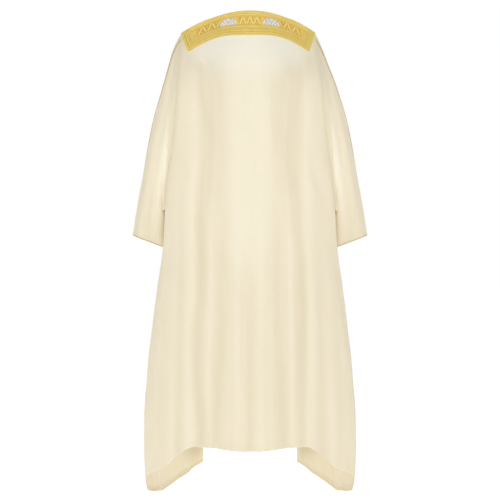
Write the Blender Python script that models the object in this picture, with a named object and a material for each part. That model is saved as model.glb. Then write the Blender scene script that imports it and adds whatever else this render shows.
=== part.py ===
"""An open-fronted cloak of fine cream cloth, filled out as it is worn, with a gold yoke band."""

import math
from collections import namedtuple

import bmesh
import bpy
from mathutils import Vector

# Sizes are in metres. The front faces -Y and the wearer's left is +X. The origin lies midway
# between the shoulder seams, at the height of the back neck's edge.
CLOTH = 0.002
SEAM_GAP = 0.0003
TRIM_GAP = 0.0005

# Neck and shoulders
SHOULDER_HALF = 0.206
SHOULDER_DROP = 0.062
SHOULDER_POWER = 2.24
SHOULDER_TURN = 62.0
NECK_HALF = 0.127
NECK_BACK = 0.045
CREST_REACH = 0.20
CREST_POWER = 0.8

# How the worn shoulders settle: all below them rises by SINK, so that the neck's edge stays at 0.
SINK = 0.0065
SINK_HEIGHTS = (-0.25, -0.08)
LEAN = 0.0055
DRAW_IN = 0.02
LEAN_HEIGHT = -0.085
LEAN_REACH = 0.10

# Front opening, armhole and sleeve
FRONT_HALF_AT_HEM = 0.1465
UNDERARM = -0.60
CUFF_HALF_DEPTH = 0.085
ARMHOLE_VALLEY = 0.005

# Gold bands and cords
YOKE_END_SLANT = 0.185
YOKE_PINCH = 0.09
FRONT_BAND_WIDTH = 0.078
FRONT_BAND_END = -0.60
FRONT_BAND_FLARE = 0.023
FRONT_BAND_FLARE_REACH = 0.12
CORD_RADIUS = 0.0016
CORD_SIDES = 6
ZIGZAG_WIDTH = 0.0036
ZIGZAG_HEIGHT = 0.0013
PLATE_HEIGHT = 0.0008

# Grid lines. The drops are measured down from the shoulder line, the shares from there to the hem.
NECK_COLUMNS = 10
SHOULDER_COLUMNS = 10
CREST_DROPS = (0.0, 0.003, 0.0095, 0.0185, 0.031, 0.0435, 0.0575, 0.074, 0.102, 0.140, 0.185)
ARMHOLE_SHARES = (0.09, 0.175, 0.245, 0.280)
LOWER_SHARES = (0.37, 0.44, 0.51, 0.58, 0.65, 0.72, 0.79, 0.86, 0.93, 1.0)
SLEEVE_SHARES = (0.0, 0.06, 0.14, 0.24, 0.36, 0.48, 0.61, 0.74, 0.87, 1.0)

Level = namedtuple("Level", "height half_width back_depth front_depth")
LEVELS = (
    Level(-0.062, 0.2060, 0.100, 0.090),
    Level(-0.200, 0.2155, 0.118, 0.115),
    Level(-0.330, 0.2250, 0.125, 0.128),
    Level(-0.410, 0.2335, 0.126, 0.129),
    Level(-0.490, 0.2460, 0.126, 0.129),
    Level(-0.570, 0.2552, 0.126, 0.128),
    Level(-0.707, 0.2622, 0.127, 0.128),
    Level(-0.820, 0.2775, 0.130, 0.130),
    Level(-0.963, 0.2960, 0.135, 0.134),
    Level(-1.108, 0.3110, 0.141, 0.139),
    Level(-1.277, 0.3200, 0.147, 0.144),
    Level(-1.460, 0.3140, 0.151, 0.148),
)

# The hem's height by the angle round the body: 0 at the centre back, 90 at the side seam.
HemPoint = namedtuple("HemPoint", "turn height")
HEM = (
    HemPoint(0.0, -1.3165),
    HemPoint(27.0, -1.3015),
    HemPoint(36.0, -1.310),
    HemPoint(47.0, -1.349),
    HemPoint(60.0, -1.377),
    HemPoint(76.0, -1.396),
    HemPoint(90.0, -1.421),
    HemPoint(97.0, -1.4440),
    HemPoint(104.0, -1.4535),
    HemPoint(116.0, -1.4575),
    HemPoint(126.0, -1.4510),
    HemPoint(136.0, -1.4265),
    HemPoint(152.0, -1.3785),
)

# The sleeve is a fan of rings, each from a point on its overarm line to one on its underarm line.
SleeveLine = namedtuple("SleeveLine", "share over_x over_y over_z under_x under_y under_z")
SLEEVE = (
    SleeveLine(0.00, 0.2060, 0.000, -0.062, 0.2565, 0.000, -0.600),
    SleeveLine(0.06, 0.2235, -0.003, -0.094, 0.2630, -0.005, -0.607),
    SleeveLine(0.15, 0.2416, -0.008, -0.148, 0.2605, -0.020, -0.617),
    SleeveLine(0.30, 0.2664, -0.018, -0.240, 0.2560, -0.041, -0.632),
    SleeveLine(0.50, 0.2997, -0.032, -0.362, 0.2540, -0.060, -0.653),
    SleeveLine(0.70, 0.3243, -0.046, -0.487, 0.2520, -0.073, -0.676),
    SleeveLine(0.85, 0.3430, -0.055, -0.580, 0.2500, -0.081, -0.696),
    SleeveLine(1.00, 0.3585, -0.062, -0.674, 0.2480, -0.088, -0.716),
)

# Folds of the body: height is above the plain surface, so a trough's is negative. face is 1 on the
# back and -1 on the front; x_low is where the fold meets the hem.
Fold = namedtuple("Fold", "face x_top x_low start end height half_width")
FOLDS = (
    Fold(1, 0.140, 0.148, -0.16, -1.50, -0.0085, 0.016),
    Fold(1, -0.141, -0.152, -0.15, -1.50, -0.0080, 0.017),
    Fold(1, 0.079, 0.100, -0.24, -1.50, -0.0050, 0.013),
    Fold(1, -0.092, -0.098, -0.30, -1.50, -0.0045, 0.014),
    Fold(1, 0.002, 0.000, -0.80, -1.50, -0.0060, 0.011),
    Fold(1, 0.038, 0.036, -0.70, -1.50, 0.0035, 0.012),
    Fold(1, -0.034, -0.034, -0.70, -1.50, 0.0035, 0.012),
    Fold(1, 0.178, 0.190, -0.30, -1.50, 0.0055, 0.017),
    Fold(1, -0.174, -0.180, -0.30, -1.50, 0.0050, 0.018),
    Fold(1, 0.200, 0.222, -0.95, -1.50, -0.0040, 0.012),
    Fold(1, -0.205, -0.232, -0.85, -1.50, -0.0045, 0.013),
    Fold(-1, 0.178, 0.200, -0.62, -1.50, -0.0075, 0.016),
    Fold(-1, -0.182, -0.194, -0.62, -1.50, -0.0070, 0.017),
    Fold(-1, 0.215, 0.244, -0.72, -1.50, 0.0060, 0.016),
    Fold(-1, -0.212, -0.240, -0.68, -1.50, 0.0055, 0.016),
)
FOLD_FADE = 0.22
SIDE_HEM = -1.421
END_MARGIN = 0.02
SIDE_CALM = 0.020

# The yoke band from its upper edge to its lower one: the drop, and how high the braid stands.
Row = namedtuple("Row", "drop height")
YOKE_ROWS = (
    Row(0.0000, 0.0010),
    Row(0.0030, 0.0012),
    Row(0.0095, 0.0012),
    Row(0.0145, 0.0024),
    Row(0.0200, 0.0011),
    Row(0.0345, 0.0011),
    Row(0.0485, 0.0011),
    Row(0.0520, 0.0024),
    Row(0.0560, 0.0013),
    Row(0.0605, 0.0023),
    Row(0.0655, 0.0013),
    Row(0.0720, 0.0022),
    Row(0.0770, 0.0010),
)
YOKE_FLAT = 0.0011
END_RIDGE = 0.0022
END_RIDGE_COLUMN = 2
BandColumn = namedtuple("BandColumn", "across height")
FRONT_BAND_COLUMNS = (
    BandColumn(0.00, 0.0010),
    BandColumn(0.12, 0.0022),
    BandColumn(0.24, 0.0012),
    BandColumn(0.37, 0.0012),
    BandColumn(0.50, 0.0018),
    BandColumn(0.63, 0.0012),
    BandColumn(0.76, 0.0012),
    BandColumn(0.88, 0.0022),
    BandColumn(1.00, 0.0010),
)

# Zigzags and plates on the yoke band, by distance along it from the centre back and drop. first is
# the drop where a zigzag starts, second that of its next corner.
Zigzag = namedtuple("Zigzag", "name start end legs first second")
ZIGZAGS = (
    Zigzag("zigzag_centre", -0.0315, 0.0315, 6, 0.0415, 0.0275),
    Zigzag("zigzag_left", 0.0870, 0.1560, 5, 0.0275, 0.0415),
    Zigzag("zigzag_right", -0.0870, -0.1560, 5, 0.0275, 0.0415),
)
PLATE_INNER = 0.0360
PLATE_OUTER = 0.0918
PLATE_SLOPE = 0.0125
PLATE_DROPS = (0.0240, 0.0295, 0.0350, 0.0405, 0.0460)
PLATE_STEPS = 6
SILVER_ZIGZAG = Zigzag("silver_zigzag", 0.0510, 0.0770, 2, 0.0290, 0.0410)

# The overarm cord runs down the sleeve near its top line: place counts round the ring, and is
# negative on the front.
CordPoint = namedtuple("CordPoint", "share place")
OVERARM_CORD = (
    CordPoint(0.00, 3.2),
    CordPoint(0.14, 2.6),
    CordPoint(0.30, 1.4),
    CordPoint(0.45, 0.1),
    CordPoint(0.61, -0.7),
    CordPoint(1.00, -0.9),
)

CREAM = ((0.89, 0.80, 0.62), 0.85, 0.0)
GOLD = ((0.72, 0.50, 0.16), 0.38, 0.75)
SILVER = ((0.66, 0.67, 0.70), 0.35, 0.80)


def column_of(table, key, field, at):
    """One column of a table, read smoothly at a value of its key column."""
    keys = [getattr(row, key) for row in table]
    values = [getattr(row, field) for row in table]
    if keys[0] > keys[-1]:
        keys, values = keys[::-1], values[::-1]
    at = min(max(at, keys[0]), keys[-1])
    last = len(keys) - 1
    place = max(i for i in range(last) if keys[i] <= at)
    width = keys[place + 1] - keys[place]

    def slope(i):
        low, high = max(i - 1, 0), min(i + 1, last)
        return (values[high] - values[low]) / (keys[high] - keys[low])

    share = (at - keys[place]) / width
    swell = share * share * (3.0 - 2.0 * share)
    start = values[place] + slope(place) * (at - keys[place])
    end = values[place + 1] + slope(place + 1) * (at - keys[place + 1])
    return start + (end - start) * swell


def level(field, height):
    return column_of(LEVELS, "height", field, height)


def edge_turn(height):
    """The angle from the centre back to the armhole, which closes to the side seam at 90."""
    share = (-SHOULDER_DROP - height) / (-SHOULDER_DROP - UNDERARM)
    share = min(max(share, 0.0), 1.0)
    return SHOULDER_TURN + (90.0 - SHOULDER_TURN) * share**3


def ring_half_width(height):
    return level("half_width", height) / math.sin(math.radians(edge_turn(height)))


def shoulder_line(x):
    """Height of the neck's edge and the shoulder seam."""
    return -SHOULDER_DROP * abs(x / SHOULDER_HALF) ** SHOULDER_POWER


def front_turn(height):
    """The angle from the centre front to the edge of the opening."""
    share = min(max(height / HEM[-1].height, 0.0), 1.0)
    half = NECK_HALF + (FRONT_HALF_AT_HEM - NECK_HALF) * share
    return math.degrees(math.asin(half / ring_half_width(height)))


def fold_height(face, x, height):
    """How far the folds lift the surface at a place on the back or the front."""
    total = 0.0
    for fold in FOLDS:
        if fold.face != face or height > fold.start:
            continue
        run = (fold.start - height) / (fold.start - fold.end)
        centre = fold.x_top + (fold.x_low - fold.x_top) * run
        off = (x - centre) / fold.half_width
        fade = min((fold.start - height) / FOLD_FADE, 1.0)
        total += fold.height * (0.55 + 0.45 * run) * fade * math.exp(-off * off)
    return total


def top_of(turn_at_top):
    """Height of the shoulder line above a column that starts at this angle."""
    return shoulder_line(ring_half_width(-SHOULDER_DROP) * math.sin(math.radians(turn_at_top)))


def drop_at(turn, height):
    """How far a place on the body lies below the shoulder line, down its own column of cloth."""
    edge = edge_turn(height)
    if turn <= 90.0:
        return top_of(SHOULDER_TURN * turn / edge) - height
    share = (edge - 180.0 + turn) / (edge - front_turn(height))
    return top_of(SHOULDER_TURN - (SHOULDER_TURN - front_turn(-SHOULDER_DROP)) * share) - height


def body_point(turn, height, side):
    """A point of the outer surface: an oval round the figure, less deep near the shoulder line."""
    angle = math.radians(turn)
    half_width = ring_half_width(height)
    face = 1 if turn <= 90.0 else -1
    drop = max(drop_at(turn, height), 0.0)
    depth = level("back_depth" if face == 1 else "front_depth", height)
    x = half_width * math.sin(angle)
    y = depth * math.cos(angle)
    calm = min((1.0 - math.sin(angle)) / SIDE_CALM, 1.0)
    lift = fold_height(face, side * x, height) * calm
    normal = Vector((math.sin(angle) / half_width, math.cos(angle) / depth, 0.0)).normalized()
    rise = math.sin(0.5 * math.pi * min(drop / CREST_REACH, 1.0)) ** CREST_POWER
    neck_y = 0.0
    if face == 1 and x < NECK_HALF:
        neck_y = NECK_BACK * (1.0 - (x / NECK_HALF) ** 2) ** 2 * (1.0 - rise)
    return Vector((side * (x + normal.x * lift), neck_y + y * rise + normal.y * lift, height))


def height_at_drop(turn_at, drop):
    """The height where a line down the body has come this far below the shoulder line."""
    height = top_of(turn_at(-SHOULDER_DROP)) - drop
    for _ in range(4):
        height += drop_at(turn_at(height), height) - drop
    return height


def body_column(turn_at, side, end=None):
    """Points down one column, to the hem or to end. turn_at gives its angle at a height."""
    crest = height_at_drop(turn_at, CREST_DROPS[-1])
    low = column_of(HEM, "turn", "height", turn_at(SIDE_HEM))
    edge_crest = -SHOULDER_DROP - CREST_DROPS[-1]
    underarm_share = (edge_crest - UNDERARM) / (edge_crest - SIDE_HEM)
    shares = ARMHOLE_SHARES + (underarm_share,) + LOWER_SHARES
    heights = [height_at_drop(turn_at, drop) for drop in CREST_DROPS]
    heights += [crest + (low - crest) * share for share in shares]
    if end is not None:
        heights = [z for z in heights if z > end + END_MARGIN] + [end]
    return [body_point(turn_at(z), z, side) for z in heights]


def back_column(share):
    side = 1.0 if share >= 0.0 else -1.0
    return body_column(lambda z: abs(share) * edge_turn(z), side)


def front_column(share, side):
    def turn_at(z):
        edge = edge_turn(z)
        return 180.0 - (edge + (front_turn(z) - edge) * share)

    return body_column(turn_at, side)


NECK_SHARE = front_turn(-SHOULDER_DROP) / SHOULDER_TURN
UNDERARM_ROW = len(CREST_DROPS) + len(ARMHOLE_SHARES)
RING = 2 * UNDERARM_ROW


def half_shares():
    neck = [NECK_SHARE * i / NECK_COLUMNS for i in range(NECK_COLUMNS)]
    step = (1.0 - NECK_SHARE) / SHOULDER_COLUMNS
    return neck + [NECK_SHARE + step * i for i in range(SHOULDER_COLUMNS + 1)]


def both_shares():
    shares = half_shares()
    return [-share for share in shares[:0:-1]] + shares


def rows_from(columns):
    return [list(row) for row in zip(*columns)]


def back_grid():
    return rows_from([back_column(share) for share in both_shares()])


def front_grid(side):
    """Columns run from the armhole and side seam to the edge of the opening."""
    shares = [i / SHOULDER_COLUMNS for i in range(SHOULDER_COLUMNS + 1)]
    return rows_from([front_column(share, side) for share in shares])


def sleeve_point(share, place, armhole, side):
    """place counts round the ring: down the back from the overarm line, then up the front."""
    over = Vector([column_of(SLEEVE, "share", "over_" + axis, share) for axis in "xyz"])
    under = Vector([column_of(SLEEVE, "share", "under_" + axis, share) for axis in "xyz"])
    first, last = SLEEVE[0], armhole[UNDERARM_ROW]
    start = Vector((first.over_x, first.over_y, first.over_z))
    root = Vector((side * armhole[place].x, armhole[place].y, armhole[place].z))
    root_share = (start.z - root.z) / (start.z - last.z)
    line = Vector((first.under_x, first.under_y, first.under_z)) - start
    stray = root - (start + line * root_share)
    angle = math.pi * place / UNDERARM_ROW
    down = (1.0 - share) * root_share + share * 0.5 * (1.0 - math.cos(angle))
    point = over + (under - over) * down
    fade = 1.0 - share
    depth = fade * stray.y + share * CUFF_HALF_DEPTH * math.sin(angle)
    valley = ARMHOLE_VALLEY * math.exp(-(((share - 0.12) / 0.07) ** 2)) * math.sin(angle)
    point.x += fade * fade * stray.x
    point.z += fade * fade * stray.z
    point.y += depth - valley
    point.x *= side
    return point


def sleeve_grid(back_edge, front_edge, side):
    armhole = back_edge[: UNDERARM_ROW + 1] + front_edge[UNDERARM_ROW - 1 : 0 : -1]
    grid = [[point.copy() for point in armhole]]
    for share in SLEEVE_SHARES[1:]:
        grid.append([sleeve_point(share, place, armhole, side) for place in range(RING)])
    return grid


def normals_of(grid, inside, ring=False):
    """Unit normals of a grid, pointing away from the place that inside gives for each row."""
    rows, columns = len(grid), len(grid[0])
    normals = []
    for r in range(rows):
        line = []
        for c in range(columns):
            left = grid[r][(c - 1) % columns] if ring else grid[r][max(c - 1, 0)]
            right = grid[r][(c + 1) % columns] if ring else grid[r][min(c + 1, columns - 1)]
            down = grid[min(r + 1, rows - 1)][c] - grid[max(r - 1, 0)][c]
            line.append((right - left).cross(down).normalized())
        normals.append(line)
    votes = 0.0
    for r in range(rows):
        centre = inside(grid[r])
        votes += sum(n.dot(p - centre) for n, p in zip(normals[r], grid[r]))
    if votes < 0.0:
        normals = [[-n for n in line] for line in normals]
    return normals


def body_inside(row):
    return Vector((0.0, 0.0, sum(point.z for point in row) / len(row)))


def ring_inside(row):
    return sum(row, Vector()) / len(row)


def share_normal(panels, sleeve=None):
    """One normal for the points that meet at a seam, so that their walls end face to face."""
    mean = sum((normals[r][c] for normals, r, c in panels), Vector()).normalized()
    places = list(panels)
    if sleeve is not None:
        normals, r, c = sleeve
        mean = (mean + normals[r][c]).normalized()
        places.append(sleeve)
    for normals, r, c in places:
        normals[r][c] = mean


def drawn_back(grid, ring=False):
    """The grid with its border moved in by half the gap that a seam keeps."""
    half = 0.5 * SEAM_GAP
    first = SEAM_GAP if ring else half
    moved = [[point.copy() for point in row] for row in grid]
    last = len(grid) - 1
    for c in range(len(grid[0])):
        moved[0][c] += first * (grid[1][c] - grid[0][c]).normalized()
        moved[last][c] += half * (grid[last - 1][c] - grid[last][c]).normalized()
    if not ring:
        for r, row in enumerate(grid):
            moved[r][0] += half * (row[1] - row[0]).normalized()
            moved[r][-1] += half * (row[-2] - row[-1]).normalized()
    return moved


def add_material(name, finish):
    colour, roughness, metallic = finish
    material = bpy.data.materials.new(name)
    material.use_nodes = True
    shader = material.node_tree.nodes["Principled BSDF"]
    shader.inputs["Base Color"].default_value = (*colour, 1.0)
    shader.inputs["Roughness"].default_value = roughness
    shader.inputs["Metallic"].default_value = metallic
    return material


def settled(point):
    """The place after the shoulders settle, lean a little to the left and draw in."""
    low, high = SINK_HEIGHTS
    share = min(max((point.z - low) / (high - low), 0.0), 1.0)
    sunk = share * share * (3.0 - 2.0 * share)
    lean = math.exp(-(((point.z - LEAN_HEIGHT) / LEAN_REACH) ** 2))
    x = point.x + lean * (LEAN * (point.x / SHOULDER_HALF) ** 2 - DRAW_IN * point.x)
    return (x, point.y, point.z + SINK * (1.0 - sunk))


def add_object(name, points, faces, finish):
    """A closed mesh object with its faces pointing out."""
    mesh = bpy.data.meshes.new(name)
    mesh.from_pydata([settled(point) for point in points], [], faces)
    solid = bmesh.new()
    solid.from_mesh(mesh)
    bmesh.ops.recalc_face_normals(solid, faces=solid.faces)
    solid.to_mesh(mesh)
    solid.free()
    mesh.shade_smooth()
    mesh.set_sharp_from_angle(angle=math.radians(40.0))
    mesh.materials.append(add_material(name, finish))
    piece = bpy.data.objects.new(name, mesh)
    bpy.context.scene.collection.objects.link(piece)
    return piece


def add_wall(name, upper, lower, finish, ring=False):
    """A closed wall between two grids of the same size, joined round their borders."""
    rows, columns = len(upper), len(upper[0])
    points = [point for row in upper for point in row]
    points += [point for row in lower for point in row]
    under = rows * columns
    faces = []
    for r in range(rows - 1):
        for c in range(columns if ring else columns - 1):
            a, b = r * columns + c, r * columns + (c + 1) % columns
            corners = [a, b, b + columns, a + columns]
            one, two = points[a] - points[b + columns], points[b] - points[a + columns]
            if one.length > two.length:
                corners = corners[1:] + corners[:1]
            # Each cell is split along its shorter diagonal, on both sides of the wall.
            for triangle in (corners[:3], [corners[0], *corners[2:]]):
                faces.append(tuple(triangle))
                faces.append(tuple(under + corner for corner in reversed(triangle)))
    border = []
    for r in (0, rows - 1):
        for c in range(columns if ring else columns - 1):
            border.append((r * columns + c, r * columns + (c + 1) % columns))
    if not ring:
        for c in (0, columns - 1):
            border += [(r * columns + c, (r + 1) * columns + c) for r in range(rows - 1)]
    for a, b in border:
        # Both walls of a seam split their rims from the higher point, so that these lie parallel.
        if points[a].z < points[b].z:
            a, b = b, a
        faces.append((a, under + a, under + b))
        faces.append((a, under + b, b))
    return add_object(name, points, faces, finish)


def moved_out(grid, normals, height):
    """height is one number, or a function of row and column."""
    out = []
    for r, row in enumerate(grid):
        out.append([])
        for c, point in enumerate(row):
            rise = height(r, c) if callable(height) else height
            out[-1].append(point + normals[r][c] * rise)
    return out


def add_cloth(name, grid, normals, ring=False):
    outer = drawn_back(grid, ring)
    return add_wall(name, outer, moved_out(outer, normals, -CLOTH), CREAM, ring)


def make_panels():
    """The five pieces of cloth, with shared normals along every seam between them."""
    back = back_grid()
    back_normals = normals_of(back, body_inside)
    sleeves = {}
    for side, name in ((1, "left"), (-1, "right")):
        edge = -1 if side == 1 else 0
        front = front_grid(side)
        back_edge = [row[edge] for row in back]
        front_edge = [row[0] for row in front]
        sleeve = sleeve_grid(back_edge, front_edge, side)
        front_normals = normals_of(front, body_inside)
        sleeve_normals = normals_of(sleeve, ring_inside, ring=True)
        back_end = len(back[0]) - 1 if side == 1 else 0
        for k in range(1, SHOULDER_COLUMNS + 1):
            share_normal([(back_normals, 0, back_end - side * k), (front_normals, 0, k)])
        for r in range(len(back)):
            seam = [(back_normals, r, back_end), (front_normals, r, 0)]
            if r in (0, UNDERARM_ROW):
                share_normal(seam, (sleeve_normals, 0, r))
            elif r < UNDERARM_ROW:
                share_normal(seam[:1], (sleeve_normals, 0, r))
                share_normal(seam[1:], (sleeve_normals, 0, RING - r))
            else:
                share_normal(seam)
        add_cloth("front_" + name, front, front_normals)
        add_cloth("sleeve_" + name, sleeve, sleeve_normals, ring=True)
        sleeves[name] = (sleeve, sleeve_normals)
    add_cloth("back_panel", back, back_normals)
    return sleeves


def yoke_point(along, drop):
    """A point of the back under the yoke band. along runs from -1 to 1 at the upper edge."""
    side = 1.0 if along >= 0.0 else -1.0
    share = abs(along) * (1.0 - YOKE_END_SLANT * drop / YOKE_ROWS[-1].drop)
    pinch = 1.0 - YOKE_PINCH * math.sin(math.pi * min(abs(along), 1.0)) ** 2
    height = top_of(share * SHOULDER_TURN) - drop * pinch
    return body_point(share * edge_turn(height), height, side)


def crest_normal(x):
    """Square to the shoulder seam, in the plane that holds it."""
    step = 0.001
    rise = shoulder_line(x + step) - shoulder_line(x - step)
    return Vector((-rise, 0.0, 2.0 * step)).normalized()


def yoke_normal(along, drop):
    step = 0.0005
    sides = yoke_point(along + step, drop) - yoke_point(along - step, drop)
    down = yoke_point(along, drop + step) - yoke_point(along, max(drop - step, 0.0))
    return sides.cross(down).normalized()


def make_yoke_band():
    alongs = both_shares()
    grid = [[yoke_point(along, row.drop) for along in alongs] for row in YOKE_ROWS]
    normals = [[yoke_normal(along, row.drop) for along in alongs] for row in YOKE_ROWS]
    for c, point in enumerate(grid[0]):
        if abs(point.x) >= NECK_HALF:
            normals[0][c] = crest_normal(point.x)
    ridges = (END_RIDGE_COLUMN, len(alongs) - 1 - END_RIDGE_COLUMN)

    def height(r, c):
        braid = YOKE_ROWS[r].height
        return TRIM_GAP + (max(braid, END_RIDGE) if c in ridges and r > 2 else braid)

    base = drawn_back(grid)
    upper = moved_out(base, normals, height)
    add_wall("yoke_band", upper, moved_out(base, normals, TRIM_GAP), GOLD)


def front_band_turn(height, across):
    """The angle from the centre front, from the opening's edge at 0 to the outer edge at 1."""
    inner = front_turn(height)
    angle = math.radians(inner)
    pace = math.hypot(
        ring_half_width(height) * math.cos(angle), level("front_depth", height) * math.sin(angle)
    )
    flare = max(1.0 + (height + SHOULDER_DROP) / FRONT_BAND_FLARE_REACH, 0.0)
    width = FRONT_BAND_WIDTH + FRONT_BAND_FLARE * min(flare, 1.0)
    outer = min(inner + math.degrees(width / pace), SHOULDER_TURN)
    return inner + (outer - inner) * across


def make_front_band(name, side):
    """The strip from the shoulder seam down beside the opening, cut square at its end."""
    columns = []
    for band_column in FRONT_BAND_COLUMNS:

        def turn_at(z, across=band_column.across):
            return 180.0 - front_band_turn(z, across)

        columns.append(body_column(turn_at, side, FRONT_BAND_END))
    shortest = min(len(column) for column in columns)
    columns = [column[: shortest - 1] + [column[-1]] for column in columns]
    grid = rows_from(columns)
    normals = normals_of(grid, body_inside)
    for c, point in enumerate(grid[0]):
        normals[0][c] = crest_normal(point.x)
    base = drawn_back(grid)
    upper = moved_out(base, normals, lambda r, c: TRIM_GAP + FRONT_BAND_COLUMNS[c].height)
    add_wall(name, upper, moved_out(base, normals, TRIM_GAP), GOLD)


def on_band(distance, drop, height):
    """A point at a height over the yoke band's flat middle."""
    turn = math.asin(distance * math.sin(math.radians(SHOULDER_TURN)) / SHOULDER_HALF)
    slant = 1.0 - YOKE_END_SLANT * drop / YOKE_ROWS[-1].drop
    along = math.degrees(turn) / SHOULDER_TURN / slant
    rise = TRIM_GAP + YOKE_FLAT + SEAM_GAP + height
    return yoke_point(along, drop) + yoke_normal(along, drop) * rise


def add_ribbon(name, lines, base, height, finish):
    """A flat piece on the yoke band, through lines of (distance, drop) places."""
    lower = [[on_band(*place, base) for place in line] for line in lines]
    upper = [[on_band(*place, base + height) for place in line] for line in lines]
    add_wall(name, upper, lower, finish)


def zigzag_lines(zigzag, side=1):
    """Both edges of a zigzag, with mitred corners and two steps a leg."""
    steps = 2
    leg = (zigzag.end - zigzag.start) / zigzag.legs
    slope = math.hypot(leg, zigzag.second - zigzag.first)
    half_up = 0.5 * ZIGZAG_WIDTH * slope / abs(leg)
    lines = ([], [])
    for k in range(zigzag.legs * steps + 1):
        swing = abs((k / steps) % 2.0 - 1.0)
        distance = side * (zigzag.start + leg * k / steps)
        drop = zigzag.second + (zigzag.first - zigzag.second) * swing
        lines[0].append((distance, drop - half_up))
        lines[1].append((distance, drop + half_up))
    return lines


def plate_lines(side):
    """A trapezoid, wider at its lower edge."""
    lines = []
    for drop in PLATE_DROPS:
        narrow = PLATE_SLOPE * (PLATE_DROPS[-1] - drop) / (PLATE_DROPS[-1] - PLATE_DROPS[0])
        inner, outer = PLATE_INNER + narrow, PLATE_OUTER - narrow
        step = (outer - inner) / PLATE_STEPS
        lines.append([(side * (inner + step * k), drop) for k in range(PLATE_STEPS + 1)])
    return lines


def make_ornament():
    for zigzag in ZIGZAGS:
        add_ribbon(zigzag.name, zigzag_lines(zigzag), 0.0, ZIGZAG_HEIGHT, GOLD)
    for side, name in ((1, "left"), (-1, "right")):
        add_ribbon("silver_plate_" + name, plate_lines(side), 0.0, PLATE_HEIGHT, SILVER)
        lines = zigzag_lines(SILVER_ZIGZAG, side)
        add_ribbon("silver_zigzag_" + name, lines, PLATE_HEIGHT + SEAM_GAP, PLATE_HEIGHT, SILVER)


def add_cord(name, path, ring=False):
    """A round cord along a path."""
    points = []
    count = len(path)
    across = Vector((0.0, 1.0, 0.0))
    for k, point in enumerate(path):
        before = path[(k - 1) % count] if ring else path[max(k - 1, 0)]
        after = path[(k + 1) % count] if ring else path[min(k + 1, count - 1)]
        along = (after - before).normalized()
        if ring:
            across = Vector((0.0, 0.0, 1.0))
        across = (across - along * across.dot(along)).normalized()
        other = along.cross(across)
        for s in range(CORD_SIDES):
            turn = 2.0 * math.pi * s / CORD_SIDES
            points.append(point + CORD_RADIUS * (math.cos(turn) * across + math.sin(turn) * other))
    faces = []
    for k in range(count if ring else count - 1):
        for s in range(CORD_SIDES):
            a, b = k * CORD_SIDES, ((k + 1) % count) * CORD_SIDES
            faces.append((a + s, a + (s + 1) % CORD_SIDES, b + (s + 1) % CORD_SIDES, b + s))
    if not ring:
        faces.append(tuple(range(CORD_SIDES)))
        faces.append(tuple(reversed(range((count - 1) * CORD_SIDES, count * CORD_SIDES))))
    add_object(name, points, faces, GOLD)


def make_cords(sleeves):
    """A cord down the top of each sleeve, on its cloth, and one round each mouth, at its edge."""
    for name, (grid, normals) in sleeves.items():
        path = []
        for r, share in enumerate(SLEEVE_SHARES):
            place = column_of(OVERARM_CORD, "share", "place", share)
            low = math.floor(place)
            part = place - low
            point = grid[r][low].lerp(grid[r][low + 1], part)
            normal = normals[r][low].lerp(normals[r][low + 1], part).normalized()
            path.append(point + normal * (CORD_RADIUS + TRIM_GAP))
        add_cord("overarm_cord_" + name, path)
        edge = []
        for c, point in enumerate(grid[-1]):
            out = (point - grid[-2][c]).normalized()
            edge.append(point - normals[-1][c] * 0.5 * CLOTH + out * (CORD_RADIUS + TRIM_GAP))
        add_cord("cuff_cord_" + name, edge, ring=True)


def main():
    for old in list(bpy.data.objects):
        bpy.data.objects.remove(old, do_unlink=True)
    sleeves = make_panels()
    make_yoke_band()
    for side, name in ((1, "front_band_left"), (-1, "front_band_right")):
        make_front_band(name, side)
    make_ornament()
    make_cords(sleeves)


main()
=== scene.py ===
import math

import bmesh
import bpy
import numpy as np
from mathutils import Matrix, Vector


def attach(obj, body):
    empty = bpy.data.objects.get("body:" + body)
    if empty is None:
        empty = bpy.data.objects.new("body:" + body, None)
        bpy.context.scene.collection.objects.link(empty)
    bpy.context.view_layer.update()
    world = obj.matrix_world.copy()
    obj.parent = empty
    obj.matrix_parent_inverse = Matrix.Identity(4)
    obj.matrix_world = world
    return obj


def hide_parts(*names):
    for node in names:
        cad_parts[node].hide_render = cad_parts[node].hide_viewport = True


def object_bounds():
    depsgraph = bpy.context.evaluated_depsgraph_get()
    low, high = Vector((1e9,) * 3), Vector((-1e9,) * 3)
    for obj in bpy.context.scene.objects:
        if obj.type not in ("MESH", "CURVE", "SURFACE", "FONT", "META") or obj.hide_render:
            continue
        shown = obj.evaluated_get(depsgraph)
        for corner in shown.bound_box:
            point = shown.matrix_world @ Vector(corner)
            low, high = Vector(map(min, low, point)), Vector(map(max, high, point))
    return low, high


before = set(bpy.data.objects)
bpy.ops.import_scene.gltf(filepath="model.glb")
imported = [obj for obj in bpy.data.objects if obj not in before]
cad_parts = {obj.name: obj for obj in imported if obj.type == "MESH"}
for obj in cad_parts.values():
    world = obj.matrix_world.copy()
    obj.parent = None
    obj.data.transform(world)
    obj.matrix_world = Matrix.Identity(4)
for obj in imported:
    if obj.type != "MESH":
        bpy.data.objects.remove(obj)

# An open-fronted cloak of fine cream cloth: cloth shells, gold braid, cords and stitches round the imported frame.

cadLow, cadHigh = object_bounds()
print("frame loaded with", len(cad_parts), "nodes")

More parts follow.
